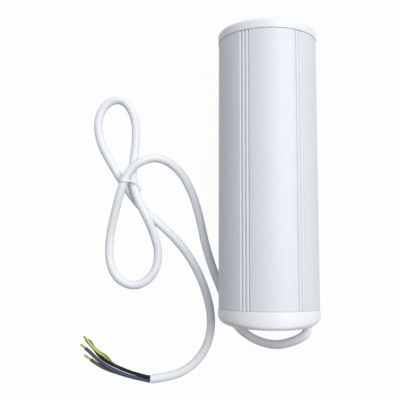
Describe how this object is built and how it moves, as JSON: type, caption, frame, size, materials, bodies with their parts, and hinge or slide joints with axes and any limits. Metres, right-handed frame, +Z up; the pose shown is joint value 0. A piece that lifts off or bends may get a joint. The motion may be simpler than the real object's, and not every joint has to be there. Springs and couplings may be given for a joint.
{
  "type": "curtain motor",
  "caption": "Oval aluminium tube with two plastic end caps holding a geared curtain drive motor, a drive spline at the top, and a loosely tied mains lead from the bottom cap.",
  "frame": {"origin": "centre of the bounding box footprint on the floor, free lead left out; the motor lies on its back", "axes": "+Y along the motor towards the drive end, +Z up out of the front face, +X to the side where the lead leaves"},
  "size_m": [0.1946, 0.2973, 0.072],
  "materials": {
    "cap_plastic": "satin white",
    "tube": "anodised satin",
    "zinc_steel": "zinc plated",
    "tool_steel": "ground",
    "gear_steel": "sintered, oiled",
    "nylon_gear": "natural nylon",
    "gearbox_alloy": "die cast",
    "can_steel": "bright plated",
    "bronze": "sintered",
    "copper": "bare, twisted",
    "winding": "enamelled wire",
    "core_steel": "stacked laminations",
    "ferrite": "sintered ferrite",
    "carbon": "carbon",
    "black_plastic": "moulded",
    "grey_plastic": "moulded",
    "green_board": "solder mask",
    "blue_plastic": "moulded",
    "yellow_tape": "tape over a core",
    "capacitor_sleeve": "shrunk sleeve",
    "rubber_black": "moulded",
    "rubber_grey": "moulded",
    "clear_plastic": "clear moulded",
    "cable_white": "smooth jacket",
    "tie_white": "moulded strap",
    "core_black": "insulation",
    "core_green_yellow": "two-colour insulation",
    "core_blue": "insulation",
    "core_brown": "insulation"
  },
  "bodies": {
    "housing": {"bottom_cap": "cap_plastic", "button_spring": "zinc_steel", "cable_grommet": "rubber_grey", "cable_tie": "tie_white", "cap_screws": "zinc_steel", "capacitors": "capacitor_sleeve", "carbon_brushes": "carbon", "clamp_screws": "zinc_steel", "control_socket": "black_plastic", "copper_ends": "copper", "cord_clamp": "grey_plastic", "core_black": "core_black", "core_blue": "core_blue", "core_brown": "core_brown", "core_green_yellow": "core_green_yellow", "field_magnets": "ferrite", "gearbox_base": "gearbox_alloy", "gearbox_bolts": "zinc_steel", "gearbox_cover": "gearbox_alloy", "housing_tube": "tube", "inner_cable": "cable_white", "io_board": "green_board", "light_pipe": "clear_plastic", "main_board": "green_board", "motor_bushes": "bronze", "motor_can": "can_steel", "motor_cradle": "grey_plastic", "motor_end_bell": "black_plastic", "motor_leads": "core_black", "output_bush": "bronze", "plate_screws": "zinc_steel", "power_cable": "cable_white", "relays": "blue_plastic", "ring_gear": "gear_steel", "rubber_ring": "rubber_black", "sensor_board": "green_board", "terminal_block": "blue_plastic", "top_cap": "cap_plastic", "top_plate": "zinc_steel", "transformer": "yellow_tape"},
    "rotor": {"motor_shaft": "tool_steel", "armature_core": "core_steel", "armature_winding": "winding", "commutator": "copper", "sensor_magnet": "ferrite", "sun_gear": "gear_steel"},
    "carrier_1": {"carrier_1": "gear_steel", "planet_pins_1": "tool_steel"},
    "output": {"carrier_2": "gear_steel", "planet_pins_2": "tool_steel", "output_shaft": "tool_steel", "output_clip": "zinc_steel", "drive_spline": "black_plastic"},
    "button": {"program_button": "grey_plastic"},
    "planet_1a": {"planet_1a": "nylon_gear"},
    "planet_1b": {"planet_1b": "nylon_gear"},
    "planet_1c": {"planet_1c": "nylon_gear"},
    "planet_2a": {"planet_2a": "nylon_gear"},
    "planet_2b": {"planet_2b": "nylon_gear"},
    "planet_2c": {"planet_2c": "nylon_gear"}
  },
  "joints": [
    {"name": "rotor_spin", "type": "hinge", "parent": "housing", "child": "rotor", "pos_m": [0, 0, 0.036], "axis": [0, 1, 0], "continuous": true},
    {"name": "carrier_1_spin", "type": "hinge", "parent": "housing", "child": "carrier_1", "pos_m": [0, 0, 0.036], "axis": [0, 1, 0], "continuous": true},
    {"name": "output_spin", "type": "hinge", "parent": "housing", "child": "output", "pos_m": [0, 0, 0.036], "axis": [0, 1, 0], "continuous": true},
    {"name": "planet_1a_spin", "type": "hinge", "parent": "carrier_1", "child": "planet_1a", "pos_m": [0.012, 0, 0.036], "axis": [0, 1, 0], "continuous": true},
    {"name": "planet_1b_spin", "type": "hinge", "parent": "carrier_1", "child": "planet_1b", "pos_m": [-0.006, 0, 0.02561], "axis": [0, 1, 0], "continuous": true},
    {"name": "planet_1c_spin", "type": "hinge", "parent": "carrier_1", "child": "planet_1c", "pos_m": [-0.006, 0, 0.04639], "axis": [0, 1, 0], "continuous": true},
    {"name": "planet_2a_spin", "type": "hinge", "parent": "output", "child": "planet_2a", "pos_m": [0.012, 0, 0.036], "axis": [0, 1, 0], "continuous": true},
    {"name": "planet_2b_spin", "type": "hinge", "parent": "output", "child": "planet_2b", "pos_m": [-0.006, 0, 0.02561], "axis": [0, 1, 0], "continuous": true},
    {"name": "planet_2c_spin", "type": "hinge", "parent": "output", "child": "planet_2c", "pos_m": [-0.006, 0, 0.04639], "axis": [0, 1, 0], "continuous": true},
    {"name": "button_press", "type": "slide", "parent": "housing", "child": "button", "axis": [0, 1, 0], "range_m": [0, 0.001], "stiffness_N_per_m": 400, "springref_m": -0.001, "deforming": ["button_spring"]}
  ],
  "couplings": [
    {"joint": "carrier_1_spin", "follows": "rotor_spin", "ratio": 0.2},
    {"joint": "output_spin", "follows": "rotor_spin", "ratio": 0.04},
    {"joint": "planet_1a_spin", "follows": "rotor_spin", "ratio": -0.53333},
    {"joint": "planet_1b_spin", "follows": "rotor_spin", "ratio": -0.53333},
    {"joint": "planet_1c_spin", "follows": "rotor_spin", "ratio": -0.53333},
    {"joint": "planet_2a_spin", "follows": "rotor_spin", "ratio": -0.10667},
    {"joint": "planet_2b_spin", "follows": "rotor_spin", "ratio": -0.10667},
    {"joint": "planet_2c_spin", "follows": "rotor_spin", "ratio": -0.10667}
  ]
}
